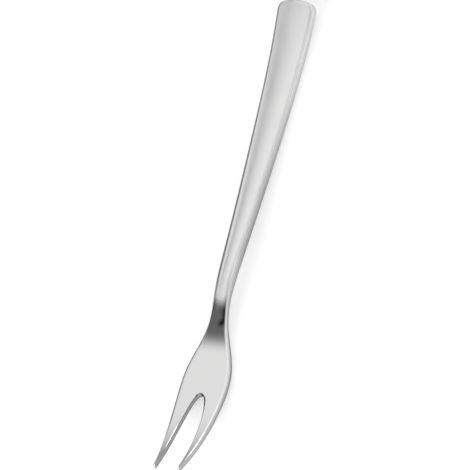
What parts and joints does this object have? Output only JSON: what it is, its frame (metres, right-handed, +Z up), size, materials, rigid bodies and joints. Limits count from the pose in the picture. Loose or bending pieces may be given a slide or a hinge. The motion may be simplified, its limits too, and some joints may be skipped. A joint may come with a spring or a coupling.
{
  "type": "serving fork",
  "caption": "Slender serving fork in one piece of stainless steel, with upswept tapering tines, a narrow neck and a gently crowned handle that widens to a squared end",
  "frame": {"origin": "centre of the bounding box in plan, at the height of the surface on which the fork lies", "axes": "+X along the fork from the tips of the tines to the end of the handle, +Y across the fork, +Z up, out of the hollow side of the tines"},
  "size_m": [0.1599, 0.0152, 0.0145],
  "materials": {
    "stainless_steel": "polished head and tines, fine satin handle"
  },
  "bodies": {
    "root": {"serving_fork": "stainless_steel"}
  },
  "joints": []
}
